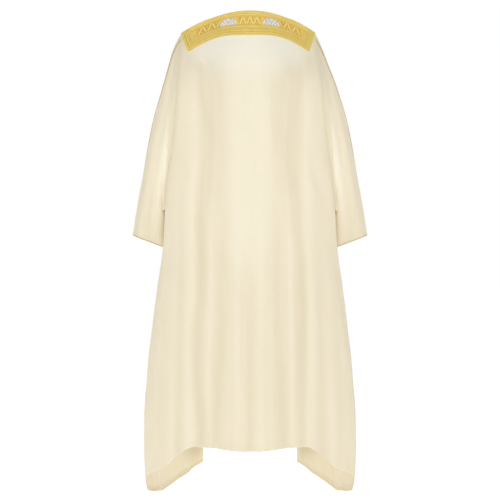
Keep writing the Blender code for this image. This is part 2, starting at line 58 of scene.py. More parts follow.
# The cloak's form in metres, with the same sizes as its solids. Turns are degrees round the body.
cloak = {
    "shoulderHalf": 0.206,
    "shoulderDrop": 0.062,
    "shoulderPower": 2.24,
    "shoulderTurn": 62.0,
    "neckHalf": 0.127,
    "neckBack": 0.045,
    "crestReach": 0.2,
    "crestPower": 0.8,
    "crestDrop": 0.185,
    "frontHalfAtHem": 0.1465,
    "hemAtOpening": -1.3785,
    "underarm": -0.6,
    "sideHem": -1.421,
    "sideCalm": 0.02,
    "sink": 0.0065,
    "sinkLow": -0.25,
    "sinkHigh": -0.08,
    "lean": 0.0055,
    "drawIn": 0.02,
    "leanHeight": -0.085,
    "leanReach": 0.1,
}
levels = {
    "height": [-0.062, -0.2, -0.33, -0.41, -0.49, -0.57, -0.707, -0.82, -0.963, -1.108, -1.277, -1.46],
    "halfWidth": [0.206, 0.2155, 0.225, 0.2335, 0.246, 0.2552, 0.2622, 0.2775, 0.296, 0.311, 0.32, 0.314],
    "backDepth": [0.1, 0.118, 0.125, 0.126, 0.126, 0.126, 0.127, 0.13, 0.135, 0.141, 0.147, 0.151],
    "frontDepth": [0.09, 0.115, 0.128, 0.129, 0.129, 0.128, 0.128, 0.13, 0.134, 0.139, 0.144, 0.148],
}
hemLine = {
    "turn": [0, 7, 27, 36, 47, 60, 76, 90, 97, 104, 116, 126, 136, 152],
    "height": [-1.3135, -1.3125, -1.303, -1.31, -1.349, -1.377, -1.396, -1.421, -1.444, -1.4535, -1.4575, -1.451,
               -1.4265, -1.3785],
}
# Folds in millimetres: width, then where the middle lies and how high it stands at each of these heights.
foldHeights = [-0.13, -0.2, -0.4, -0.6, -0.8, -1.0, -1.2, -1.36]
backFolds = [
    (14, [148, 142, 130, 144, 143, 155, 146, 145], [0, -7, -7, -8.5, -9, -8, -9, -9]),
    (15, [-150, -148, -132, -141, -152, -153, -151, -153], [0, -6, -7, -7.5, -9, -8, -8, -8]),
    (17, [64, 68, 73, 80, 84, 88, 96, 104], [0, -1.5, -3, -4, -6.5, -8, -8.5, -7]),
    (17, [-70, -72, -75, -80, -84, -88, -97, -105], [0, -1, -3, -4, -6, -8, -8.5, -7]),
    (10, [0, 0, 0, 1, 1, 0, -1, 0], [0, 0, -0.4, -0.8, -3, -5, -6, -6.5]),
    (11, [30, 32, 36, 38, 38, 38, 36, 35], [0, 0.5, 1, 1.5, 3, 4, 4, 4]),
    (11, [-30, -32, -33, -34, -34, -33, -34, -35], [0, 0.4, 1, 1.5, 3, 4, 4, 4]),
    (11, [152, 116, 103, 119, 119, 124, 122, 122], [0, 2, 1.5, 2, 5, 6, 4.4, 3.6]),
    (11, [-150, -124, -106, -117, -124, -126, -125, -126], [0, 1.6, 1.6, 2, 5, 6, 4.2, 3.4]),
    (17, [196, 178, 172, 178, 179, 189, 186, 188], [0, 2, 4, 5, 5, 5, 5.5, 6]),
    (17, [-194, -176, -170, -174, -180, -184, -178, -180], [0, 2, 4, 4.5, 5, 5, 5, 5.5]),
    (11, [210, 206, 204, 206, 207, 208, 210, 212], [0, 0, 0, -1, -2.5, -4, -5, -5]),
    (12, [-210, -206, -204, -206, -208, -212, -216, -220], [0, 0, 0, -1, -3, -4.5, -5, -4.5]),
    (12, [230, 228, 226, 226, 228, 232, 234, 236], [0, 0, 0, 0, 1, 2.5, 4, 4.5]),
    (12, [-232, -230, -228, -228, -232, -238, -242, -246], [0, 0, 0, 0, 1, 2, 3, 4]),
    (7, [50, 52, 56, 60, 60, 64, 68, 70], [0, 0.6, 1, 0.6, 1.2, 1.6, 1.2, 1.4]),
    (7, [-56, -60, -62, -64, -66, -66, -64, -62], [0, 0.4, 1, 1.2, 0.8, 1.4, 1.6, 1.2]),
    (6, [18, 17, 16, 18, 19, 18, 16, 15], [0, -0.3, -0.5, -0.6, -0.8, -0.6, 0.7, 1]),
    (6, [-12, -14, -17, -18, -16, -15, -17, -18], [0, 0.3, -0.5, -0.4, -0.8, 0.6, 0.9, 0.8]),
    (7, [160, 166, 158, 160, 162, 172, 166, 166], [0, 0, 0.9, -0.8, 1.2, -1.2, 1.4, -1.2]),
    (7, [-162, -164, -152, -157, -166, -169, -164, -166], [0, 0.5, -0.8, 1, -1, 1.2, -1.4, 1]),
    (9, [214, 240, 252, 258, 256, 262, 270, 276], [0, 0, 0, 0, -0.8, -1.6, -2.4, -3]),
    (9, [-214, -240, -252, -258, -258, -266, -272, -274], [0, 0, 0, 0, -1, -1.4, -2.6, -2.6]),
]
frontFolds = [
    (15, [172, 172, 174, 178, 182, 188, 194, 200], [0, 0, -1, -2.5, -6, -7, -7.5, -7.5]),
    (16, [-176, -176, -178, -182, -185, -188, -192, -194], [0, 0, -1, -2.5, -6, -6.5, -7, -7]),
    (15, [206, 206, 208, 212, 220, 228, 236, 244], [0, 0.5, 1.5, 2.5, 4, 5, 6, 6]),
    (15, [-204, -204, -206, -210, -216, -226, -234, -240], [0, 0.5, 1.5, 3, 4, 5, 5.5, 5.5]),
    (9, [150, 150, 151, 153, 156, 160, 166, 172], [0, 0, 0, 0.6, 1.6, 2.4, 3, 3]),
    (9, [-150, -150, -152, -156, -158, -163, -168, -170], [0, 0, 0, 0.5, 1.8, 2.6, 2.8, 3]),
    (10, [228, 230, 236, 246, 252, 262, 270, 276], [0, 0, 0, -0.6, -1.6, -2.6, -3.4, -3.6]),
    (10, [-228, -230, -236, -246, -254, -264, -268, -272], [0, 0, 0, -0.8, -1.4, -2.8, -3, -3.4]),
    (7, [190, 188, 189, 194, 198, 206, 212, 220], [0, 0.4, -0.6, 0.8, -1, 1.2, -1.2, 1.4]),
    (7, [-190, -190, -192, -195, -200, -204, -212, -216], [0, 0.4, 0.6, -0.8, 1, -1, 1.2, -1.2]),
]


def clamp(values):
    return np.clip(values, 0, 1)


def bell(off):
    return np.exp(-off * off)


def readColumn(table, field, at):  # a column, read smoothly at values of the table's first column
    keys, values = np.array(next(iter(table.values())), float), np.array(table[field], float)
    if keys[0] > keys[-1]:
        keys, values = keys[::-1], values[::-1]
    at = np.clip(at, keys[0], keys[-1])
    last = len(keys) - 1
    place = np.clip(np.searchsorted(keys, at, side="right") - 1, 0, last - 1)
    low, high = np.maximum(np.arange(last + 1) - 1, 0), np.minimum(np.arange(last + 1) + 1, last)
    slope = (values[high] - values[low]) / (keys[high] - keys[low])
    share = (at - keys[place]) / (keys[place + 1] - keys[place])
    start = values[place] + slope[place] * (at - keys[place])
    end = values[place + 1] + slope[place + 1] * (at - keys[place + 1])
    return start + (end - start) * share * share * (3 - 2 * share)


def edgeTurn(height):  # from the centre back to the armhole, which closes to the side seam at 90
    share = (-cloak["shoulderDrop"] - height) / (-cloak["shoulderDrop"] - cloak["underarm"])
    return cloak["shoulderTurn"] + (90 - cloak["shoulderTurn"]) * clamp(share) ** 3


def ringHalfWidth(height):
    return readColumn(levels, "halfWidth", height) / np.sin(np.radians(edgeTurn(height)))


def shoulderLine(across):
    return -cloak["shoulderDrop"] * np.abs(across / cloak["shoulderHalf"]) ** cloak["shoulderPower"]


def frontTurn(height):  # from the centre front to the edge of the opening
    share = clamp(height / cloak["hemAtOpening"])
    half = cloak["neckHalf"] + (cloak["frontHalfAtHem"] - cloak["neckHalf"]) * share
    return np.degrees(np.arcsin(half / ringHalfWidth(height)))


def topOf(turnAtTop):
    return shoulderLine(ringHalfWidth(-cloak["shoulderDrop"]) * np.sin(np.radians(turnAtTop)))


def dropAt(turn, height):  # how far below the shoulder line a place lies, down its own column
    edge, top = edgeTurn(height), cloak["shoulderTurn"]
    share = (edge - 180 + turn) / (edge - frontTurn(height))
    atTop = np.where(turn <= 90, top * turn / edge, top - (top - frontTurn(-cloak["shoulderDrop"])) * share)
    return topOf(atTop) - height


def foldLift(folds, across, height):
    total = np.zeros(np.broadcast(across, height).shape)
    for width, middles, lifts in folds:
        table = {"height": foldHeights, "middle": middles, "lift": lifts}
        middle, lift = (readColumn(table, field, height) * 0.001 for field in ("middle", "lift"))
        off = (across - middle) / (width * 0.001)
        total += lift * bell(off)
    return total


def paired(first, second):
    return np.broadcast_arrays(np.asarray(first, float), np.asarray(second, float))


def bodyPoint(turn, height, side, folded=True):  # the outer surface: an oval that flattens near the shoulders
    turn, height = paired(turn, height)
    angle, halfWidth = np.radians(turn), ringHalfWidth(height)
    onBack = turn <= 90
    depth = np.where(onBack, *(readColumn(levels, field, height) for field in ("backDepth", "frontDepth")))
    across, out = halfWidth * np.sin(angle), depth * np.cos(angle)
    lift = 0
    if folded:
        lift = np.where(onBack, *(foldLift(folds, side * across, height) for folds in (backFolds, frontFolds)))
        lift = lift * np.minimum((1 - np.sin(angle)) / cloak["sideCalm"], 1)
    normalX, normalY = np.sin(angle) / halfWidth, np.cos(angle) / depth
    length = np.hypot(normalX, normalY)
    reach = clamp(dropAt(turn, height) / cloak["crestReach"])
    rise = np.sin(0.5 * math.pi * reach) ** cloak["crestPower"]
    neck = cloak["neckBack"] * clamp(1 - (across / cloak["neckHalf"]) ** 2) ** 2 * (1 - rise)
    neck = np.where(onBack, neck, 0)
    return np.stack([side * (across + normalX / length * lift),
                     neck + out * rise + normalY / length * lift, height], axis=-1)


def heightAtDrop(turnAt, drop):  # where a line down the body has come this far below the shoulders
    height = topOf(turnAt(np.array(-cloak["shoulderDrop"]))) - drop
    for _ in range(4):
        height = height + dropAt(turnAt(height), height) - drop
    return height


# Rows of the panels: drops down to the crest's end, then shares of the way to the hem. The armhole's rows are
# the places of the sleeve's ring, so that the cloth meets there.
edgeCrest = -cloak["shoulderDrop"] - cloak["crestDrop"]
toHem = edgeCrest - cloak["sideHem"]
crestDrops = [0, 0.003, 0.0095, 0.0185, 0.031, 0.0435, 0.0575, 0.074, 0.102, 0.14, 0.185]
armholeShares = [0.09, 0.175, 0.245, 0.28, (edgeCrest - cloak["underarm"]) / toHem]
armholeHeights = [-cloak["shoulderDrop"] - drop for drop in crestDrops]
armholeHeights += [edgeCrest - toHem * share for share in armholeShares]
underarmPlace = len(armholeHeights) - 1
placeSteps = np.concatenate([np.arange(0, 10, 0.25), np.arange(10, underarmPlace, 0.1), [underarmPlace]])
placeHeights = np.interp(placeSteps, np.arange(underarmPlace + 1), armholeHeights)
crestCount = int(np.sum(placeSteps <= 10 + 1e-6))
rowDrops = -cloak["shoulderDrop"] - placeHeights[:crestCount]
hemShares = 1 - np.array([0.0165, 0.014, 0.0121, 0.0113, 0.0105, 0.008, 0.0045, 0.0018, 0.0005, 0.0])
rowShares = np.concatenate([(edgeCrest - placeHeights[crestCount:]) / toHem,
                            np.linspace(armholeShares[-1], hemShares[0], 106)[1:-1], hemShares])
stitchRow = crestCount + len(rowShares) - len(hemShares) + 2  # the row that the hem's stitches follow


def panelGrid(turnAt, side):
    crest = heightAtDrop(turnAt, cloak["crestDrop"])
    low = readColumn(hemLine, "height", turnAt(np.array(cloak["sideHem"])))
    heights = np.vstack([heightAtDrop(turnAt, rowDrops[:, None]), crest + (low - crest) * rowShares[:, None]])
    return bodyPoint(turnAt(heights), heights, side)


def unit(vectors):
    return vectors / np.maximum(np.linalg.norm(vectors, axis=-1, keepdims=True), 1e-12)


def gridNormals(grid, ring=False):  # out of the hollow: away from each row's middle
    across = np.roll(grid, -1, 1) - np.roll(grid, 1, 1) if ring else np.gradient(grid, axis=1)
    normals = unit(np.cross(across, np.gradient(grid, axis=0)))
    middle = grid.mean(axis=1, keepdims=True) if ring else grid.mean(axis=1, keepdims=True) * [0, 0, 1]
    return normals if np.sum(normals * (grid - middle)) > 0 else -normals


def settled(points):  # the places after the shoulders settle, lean a little to the left and draw in
    points = np.array(points, float)
    share = clamp((points[:, 2] - cloak["sinkLow"]) / (cloak["sinkHigh"] - cloak["sinkLow"]))
    lean = bell((points[:, 2] - cloak["leanHeight"]) / cloak["leanReach"])
    across = points[:, 0]
    points[:, 0] = across + lean * (cloak["lean"] * (across / cloak["shoulderHalf"]) ** 2 - cloak["drawIn"] * across)
    points[:, 2] += cloak["sink"] * (1 - share * share * (3 - 2 * share))
    return points


def addMesh(name, points, faces, material, uvs=None, marks=None):
    mesh = bpy.data.meshes.new(name)
    mesh.from_pydata(settled(points).tolist(), [], faces)
    if uvs is not None:
        layer = mesh.uv_layers.new(name="cloth")
        layer.data.foreach_set("uv", np.asarray(uvs, np.float32).ravel())
    for key, values in (marks or {}).items():
        mesh.attributes.new(key, "FLOAT", "POINT").data.foreach_set("value", np.asarray(values, np.float32).ravel())
    mesh.validate()
    mesh.shade_smooth()
    mesh.materials.append(material)
    piece = bpy.data.objects.new(name, mesh)
    bpy.context.scene.collection.objects.link(piece)
    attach(piece, "root")
    return piece


def spanned(grid, axis, ring=False):  # distance along a grid's rows or columns, in metres
    if ring:
        grid = np.concatenate([grid, grid[:, :1]], axis=1)
    steps = np.linalg.norm(np.diff(grid, axis=axis), axis=2)
    return np.concatenate([np.zeros_like(np.take(steps, [0], axis)), np.cumsum(steps, axis)], axis)


def cornersOf(grid):
    return np.stack([grid[:-1, :-1], grid[:-1, 1:], grid[1:, 1:], grid[1:, :-1]], axis=2)


def addShell(name, outer, normals, thickness, material, ring=False, marks=None):
    # A thin closed sheet: outer and inner faces, joined by rounded rims.
    rows, columns = outer.shape[:2]
    thickness = np.broadcast_to(np.asarray(thickness, float), (rows, columns))[..., None]
    inner = outer - normals * thickness
    middle = (outer + inner) / 2
    rims, rimOf = [], {}
    count = 2 * rows * columns

    def addRim(r, c, inside):
        out = unit(middle[r, c] - middle[inside]) * thickness[r, c] * 0.4
        rimOf[(r, c)] = count + len(rims)
        rims.append(middle[r, c] + out)

    borders = []
    wide = columns if ring else columns - 1
    for r, inside in ((0, 1), (rows - 1, rows - 2)):
        for c in range(columns):
            addRim(r, c, (inside, c))
        borders += [((r, c), (r, (c + 1) % columns)) for c in range(wide)]
    if not ring:
        for c, inside in ((0, 1), (columns - 1, columns - 2)):
            for r in range(1, rows - 1):
                addRim(r, c, (r, inside))
            borders += [((r, c), (r + 1, c)) for r in range(rows - 1)]
    index = np.arange(rows * columns).reshape(rows, columns)
    if ring:
        index = np.concatenate([index, index[:, :1]], axis=1)
    quads = cornersOf(index).reshape(-1, 4)
    flat = np.stack([spanned(outer, 1, ring), spanned(outer, 0, ring)], axis=-1)
    if ring:
        flat[:, -1, 1] = flat[:, 0, 1]
    quadUvs = cornersOf(flat).reshape(-1, 4, 2)
    first = outer[0, 0]
    if np.dot(np.cross(outer[0, 1] - first, outer[1, 1] - first), normals[0, 0]) <= 0:
        quads, quadUvs = quads[:, ::-1], quadUvs[:, ::-1]
    faces = quads.tolist() + (quads[:, ::-1] + rows * columns).tolist()
    uvs = [quadUvs.reshape(-1, 2), quadUvs[:, ::-1].reshape(-1, 2)]
    for p, q in borders:
        up, down = index[p], index[q]
        faces.append([up, down, rimOf[q], rimOf[p]])
        faces.append([rimOf[p], rimOf[q], down + rows * columns, up + rows * columns])
        uvs.append(np.array([flat[p], flat[q], flat[q], flat[p]] * 2))
    points = np.concatenate([outer.reshape(-1, 3), inner.reshape(-1, 3), np.array(rims)])
    fullMarks = {}
    for key, (outside, inside) in (marks or {}).items():
        outside, inside = (np.broadcast_to(values, (rows, columns)) for values in (outside, inside))
        border = [inside[place] for place in rimOf]
        fullMarks[key] = np.concatenate([outside.ravel(), inside.ravel(), border])
    piece = addMesh(name, points, faces, material, np.concatenate(uvs), fullMarks)
    faceOut(piece)
    return piece


def faceOut(piece):
    solid = bmesh.new()
    solid.from_mesh(piece.data)
    bmesh.ops.recalc_face_normals(solid, faces=solid.faces)
    solid.to_mesh(piece.data)
    solid.free()


# Node maths: a Wire is a socket's value, so that plain arithmetic adds Math nodes.
class Wire:
    def __init__(self, finish, socket):
        self.finish, self.socket = finish, socket

    def join(self, operation, first, second=None):
        values = {0: first} if second is None else {0: first, 1: second}
        return self.finish.node("ShaderNodeMath", {"operation": operation}, values)

    def __add__(self, other):
        return self.join("ADD", self, other)

    def __mul__(self, other):
        return self.join("MULTIPLY", self, other)

    def sine(self):
        return self.join("SINE", self)

    __radd__ = __add__
    __rmul__ = __mul__


class Finish:
    def __init__(self, name, **shine):
        self.material = bpy.data.materials.new(name)
        self.material.use_nodes = True
        self.tree = self.material.node_tree
        self.shader = self.tree.nodes["Principled BSDF"]
        self.set(self.shader, shine)

    def set(self, node, sockets):
        for key, value in sockets.items():
            socket = node.inputs[key]
            if isinstance(value, Wire):
                self.tree.links.new(value.socket, socket)
            elif hasattr(value, "__len__") and len(value) == 3 and socket.type == "RGBA":
                socket.default_value = (*value, 1.0)
            else:
                socket.default_value = value

    def node(self, kind, settings=None, sockets=None, out=0):
        made = self.tree.nodes.new(kind)
        for key, value in (settings or {}).items():
            if key == "stops":
                for stop, (place, level) in zip(made.color_ramp.elements, value):
                    stop.position, stop.color = place, (level, level, level, 1)
            else:
                setattr(made, key, value)
        self.set(made, sockets or {})
        return Wire(self, made.outputs[out])

    def place(self):
        return self.node("ShaderNodeNewGeometry", out="Position")

    def flat(self):  # the cloth's own place, in metres across and down
        split = self.node("ShaderNodeSeparateXYZ", sockets={0: self.node("ShaderNodeTexCoord", out="UV")})
        return split, Wire(self, split.socket.node.outputs[1])

    def mark(self, name):
        return self.node("ShaderNodeAttribute", {"attribute_name": name}, out="Fac")

    def vector(self, x, y, z):
        return self.node("ShaderNodeCombineXYZ", sockets={0: x, 1: y, 2: z})

    def noise(self, place, scale=1.0, detail=2.0):
        return self.node("ShaderNodeTexNoise", sockets={"Vector": place, "Scale": scale, "Detail": detail})

    def ramp(self, value, *stops):
        return self.node("ShaderNodeValToRGB", {"stops": stops}, {0: value})

    def mix(self, share, first, second):
        return self.node("ShaderNodeMix", {"data_type": "RGBA"}, {0: share, 6: first, 7: second}, out=2)

    def bump(self, height, strength, distance):
        normal = self.node("ShaderNodeBump", sockets={"Height": height, "Strength": strength, "Distance": distance})
        self.set(self.shader, {"Normal": normal})


# Cream cloth: a fine plain weave with slubbed threads, and a soft sheen. It is sheer, so its tone is deeper where it is
# doubled; painted shade deepens it in folds, and painted light makes it lighter where nothing lies behind it.
creamLook = {
    "light": (0.895, 0.81, 0.62),
    "deep": (0.835, 0.742, 0.548),
    # painted light: lighter cloth in the back's middle, in the notches under the arms, on fold ridges and on inner
    # faces
    "paintedLight": (0.985, 0.94, 0.79),
    # painted shade: deeper cloth in folds' troughs, along armhole seams, towards the cuffs and under the back's hem
    "fold": (0.705, 0.615, 0.435),
    "doubled": (0.76, 0.645, 0.42),
    "stitch": ((0.82, 0.73, 0.55), (0.9, 0.83, 0.68)),
    "threadPitch": 0.0009,
    "slub": (420, 16),  # how often thicker threads come, across and down a metre
    "pick": (14, 380),
    "cloud": (26, 9),
}


def creamCloth():
    finish = Finish("creamCloth", Roughness=0.86)
    finish.set(finish.shader, {"Sheen Weight": 0.22, "Sheen Roughness": 0.45, "Specular IOR Level": 0.25})
    u, v = finish.flat()
    turns = 2 * math.pi / creamLook["threadPitch"]
    weave = (u * turns).sine() * (v * turns).sine()
    slub, pick, cloud = (finish.noise(finish.vector(u * across, v * down, shift), detail=3)
                         for (across, down), shift in zip((creamLook[key] for key in ("slub", "pick", "cloud")),
                                                          (0, 3.7, 1.3)))
    thread = finish.ramp(slub * 0.55 + pick * 0.25 + cloud * 0.4, (0.42, 0), (0.78, 1))
    colour = finish.mix(thread * 0.55, creamLook["light"], creamLook["deep"])
    # painted light and painted shade mix into the cloth's colour, then the doubled hem's deeper tone
    for mark in ("paintedLight", "fold", "doubled"):
        colour = finish.mix(finish.mark(mark), colour, creamLook[mark])
    finish.set(finish.shader, {"Base Color": colour, "Roughness": 0.8 + slub * 0.12})
    finish.bump(weave * 0.25 + slub * 0.6 + pick * 0.35, 0.3, 0.0006)
    return finish.material


# Metal thread: a wrapped thread's soft gleam, with a fine grain and an uneven tone. Each look is a colour, its
# deeper tone, how metallic and how rough it is, and the painted shade between the raised bars.
metals = {
    "goldGround": ((1.0, 0.72, 0.18), (0.86, 0.55, 0.1), 0.05, 0.48, (0.78, 0.48, 0.08)),
    "goldBraid": ((1.0, 0.87, 0.3), (1.0, 0.8, 0.22), 0.05, 0.36),
    "goldBright": ((1.0, 0.88, 0.36), (1.0, 0.82, 0.28), 0.05, 0.3),
    "silverBraid": ((1.0, 1.0, 0.98), (0.94, 0.93, 0.92), 0.05, 0.34),
    "silverGround": ((0.84, 0.8, 0.74), (0.66, 0.62, 0.58), 0.05, 0.45),
    "goldCord": ((0.86, 0.64, 0.25), (0.7, 0.48, 0.15), 0.1, 0.38),
}


def metalThread(name, colour, deep, metallic, roughness, pocketShade=None):
    finish = Finish(name, Metallic=metallic, Roughness=roughness)
    place = finish.place()
    grain = finish.noise(place, 900.0, 2)
    patch = finish.noise(place, 70.0, 3)
    shade = finish.ramp(grain * 0.6 + patch * 0.45, (0.38, 0), (0.68, 1))
    tone = finish.mix(shade, deep, colour)
    # painted shade on the ground between the raised bars
    if pocketShade:
        tone = finish.mix(finish.mark("pocketShade"), tone, pocketShade)
    finish.set(finish.shader, {"Base Color": tone, "Roughness": roughness + 0.2 * grain})
    finish.bump(grain, 0.35, 0.0004)
    return finish.material


cream = creamCloth()
creamThread = Finish("creamThread", Roughness=0.6)
creamThread.set(creamThread.shader, {"Base Color": creamThread.mix(
    creamThread.noise(creamThread.place(), 800.0), *creamLook["stitch"])})
creamThread = creamThread.material
goldGround, goldBraid, goldBright, silverBraid, silverGround, goldCord = (
    metalThread(name, *look) for name, look in metals.items())
print("materials made")


# The five panels of cloth.
def softNoise(seed, rows, columns, size=6):  # uneven but smooth, from a few random waves
    random = np.random.default_rng(seed)
    u, v = np.meshgrid(np.linspace(0, 1, columns), np.linspace(0, 1, rows))
    total = np.zeros((rows, columns))
    for _ in range(size):
        waves = random.uniform([3, 0.4], [12, 2.6])
        total += np.sin(2 * math.pi * (waves[0] * u + waves[1] * v) + random.uniform(0, 6.28)) / waves[0]
    return total


backLook = {"columns": 172, "unevenness": 0.0011, "seamWidth": 0.0022, "seamDepth": 0.0005}
frontLook = {"columns": 56, "unevenness": 0.001}
clothThickness = 0.0009


def backPanel():
    shares = np.linspace(-1, 1, 2 * (backLook["columns"] // 2) + 1)
    left = panelGrid(lambda z: np.abs(shares[shares >= 0]) * edgeTurn(z), 1)
    right = panelGrid(lambda z: np.abs(shares[shares < 0]) * edgeTurn(z), -1)
    grid = np.concatenate([right, left], axis=1)
    normals = gridNormals(grid)
    seam = bell(grid[..., 0] / backLook["seamWidth"]) * backLook["seamDepth"]
    calm = clamp((1 - np.abs(shares)) * 12) * clamp((-grid[..., 2] - 0.13) / 0.1)
    rough = softNoise(4, *grid.shape[:2]) * backLook["unevenness"] * 3 * calm
    return grid + normals * (rough - seam)[..., None]


def frontPanel(side, seed):
    edge = 1 - np.array([0.058, 0.052, 0.048, 0.03, 0.012, 0.004, 0.0])
    shares = np.concatenate([np.linspace(0, edge[0], frontLook["columns"])[:-1], edge])

    def turnAt(z):
        return 180 - (edgeTurn(z) + (frontTurn(z) - edgeTurn(z)) * shares)

    grid = panelGrid(turnAt, side)
    normals = gridNormals(grid)
    calm = clamp(shares * 8) * clamp((1 - shares) * 12) * clamp((-grid[..., 2] - 0.6) / 0.2)
    rough = softNoise(seed, *grid.shape[:2], 4) * frontLook["unevenness"] * 3 * calm
    return grid + normals * rough[..., None]


# The sleeve: a fan of rings from the armhole to the mouth, each from the overarm line to the underarm line, which
# lies a little further in and forward than the solid's.
sleeveLines = {
    "share": [0.0, 0.06, 0.15, 0.3, 0.5, 0.7, 0.85, 1.0],
    "overX": [0.206, 0.2235, 0.2416, 0.2664, 0.2997, 0.3243, 0.343, 0.3585],
    "overY": [0.0, -0.003, -0.008, -0.018, -0.034, -0.052, -0.064, -0.075],
    "overZ": [-0.062, -0.094, -0.148, -0.24, -0.362, -0.487, -0.58, -0.674],
    "underX": [0.2565, 0.2628, 0.26, 0.255, 0.25, 0.2435, 0.2375, 0.232],
    "underY": [0.0, -0.005, -0.022, -0.045, -0.068, -0.085, -0.097, -0.108],
    "underZ": [-0.6, -0.607, -0.617, -0.632, -0.654, -0.679, -0.7, -0.7225],
}
sleeveLook = {
    "rows": 76,
    "mouthHalfDepth": 0.078,
    "fullness": 0.85,
    "valley": 0.005,  # how deep the cloth sinks beside the armhole, and where down the sleeve
    "valleyAt": 0.12,
    "valleyReach": 0.07,
    "creaseShift": 0.3,  # how much further round the right sleeve's creases lie
    "hem": 0.02,
}
# Creases down a sleeve: place round the ring at the armhole and the mouth, height in millimetres, and width.
sleeveCreases = [
    (3.0, 2.2, -1.6, 0.8), (5.5, 4.6, 1.6, 1.0), (8.0, 7.0, -2.2, 0.9),
    (11.0, 9.4, 2.2, 1.1), (13.2, 12.0, -2.4, 0.9), (17.2, 18.2, -2.2, 0.9),
    (19.4, 21.0, 2.0, 1.1), (22.4, 23.6, -1.8, 0.9), (25.6, 26.2, 1.6, 1.0),
]
ringPlaces = np.concatenate([placeSteps, 2 * underarmPlace - placeSteps[-2:0:-1]])
sleeveShares = np.concatenate([np.linspace(0, 0.12, 14)[:-1],
                               np.linspace(0.12, 1 - sleeveLook["hem"] * 1.15, sleeveLook["rows"] - 14)[:-1],
                               1 - sleeveLook["hem"] * np.array([1.15, 1.0, 0.92, 0.6, 0.3, 0.08, 0.0])])


def sleeveGrid(side, backEdge, frontEdge):
    last = len(placeSteps)
    armhole = np.concatenate([backEdge[:last], frontEdge[last - 2:0:-1]]) * [side, 1, 1]
    share = sleeveShares[:, None]

    def line(name):
        return np.stack([readColumn(sleeveLines, name + axis, share) for axis in "XYZ"], axis=-1)

    over, under = line("over"), line("under")
    start, end = over[0, 0], under[0, 0]
    rootShare = (start[2] - armhole[:, 2]) / (start[2] - end[2])
    stray = armhole - (start + (end - start) * rootShare[:, None])
    angle = math.pi * ringPlaces / underarmPlace
    down = (1 - share) * rootShare + share * 0.5 * (1 - np.cos(angle))
    points = over + (under - over) * down[..., None]
    fade = 1 - share
    valley = sleeveLook["valley"] * bell((share - sleeveLook["valleyAt"]) / sleeveLook["valleyReach"]) * np.sin(angle)
    points[..., 0] += fade * fade * stray[:, 0]
    points[..., 2] += fade * fade * stray[:, 2]
    swell = np.sign(np.sin(angle)) * np.abs(np.sin(angle)) ** sleeveLook["fullness"]
    points[..., 1] += fade * stray[:, 1] + share * sleeveLook["mouthHalfDepth"] * swell - valley
    points[0] = armhole
    points = points * [side, 1, 1]
    normals = gridNormals(points, ring=True)
    lift = np.zeros(points.shape[:2])
    grow = clamp((share - 0.06) / 0.3)
    for start, end, height, width in sleeveCreases:
        middle = start + (end - start) * share + (sleeveLook["creaseShift"] if side < 0 else 0)
        lift += height * 0.001 * grow * bell((ringPlaces - middle) / width)
    return points + normals * lift[..., None]


halves = ((1, "Left"), (-1, "Right"))
back = backPanel()
panels = {"back": back}
for side, name in halves:
    front = frontPanel(side, 11 + side)
    panels["front" + name] = front
    panels["sleeve" + name] = sleeveGrid(side, back[:, -1] if side > 0 else back[:, 0], front[:, 0])
normalsOf = {key: gridNormals(grid, key.startswith("sleeve")) for key, grid in panels.items()}


# Painted light and painted shade on the sheer cloth. The middle of the back gets painted light, as no front lies behind
# it.
toneLook = {
    "doubledOutside": 0.03,
    "doubledInside": 0.06,
    "edgeInside": 0.55,
    # strengths of painted shade in folds, painted light in the sleeves' notches, painted shade at the hem's corners,
    # seams and cuffs
    "fold": 0.26,
    "notch": 1.0,
    "corner": 0.75,
    "cornerAt": (0.175, -1.338),
    "cornerSize": (0.035, 0.026),
    "seam": 0.4,
    "sleeveSeam": 0.07,
    "backSeam": 0.01,
    "foldDepth": 0.009,
    "cuff": 0.16,
    "soft": 0.034,
}
# where the back's middle gets painted light: its half width and strength at each height
paintedLightZone = {
    "height": [0.0, -0.1, -0.15, -0.18, -0.21, -0.27, -0.57, -0.69, -0.75, -0.81, -0.86],
    "half": [0.185, 0.172, 0.155, 0.118, 0.082, 0.07, 0.066, 0.058, 0.044, 0.026, 0.01],
    "share": [1.0, 1.0, 0.86, 0.6, 0.4, 0.28, 0.3, 0.32, 0.24, 0.12, 0.0],
}
# Painted shade in tracks down the back, where the bands of the fronts lie behind the sheer cloth.
bandTrack = {"height": [-0.12, -0.2, -0.32, -0.46, -0.6, -0.7], "share": [0, 0.2, 0.26, 0.24, 0.12, 0],
             "inner": 0.072, "outer": 0.134, "soft": 0.006}


def softStep(off):
    return 1 / (1 + np.exp(off))


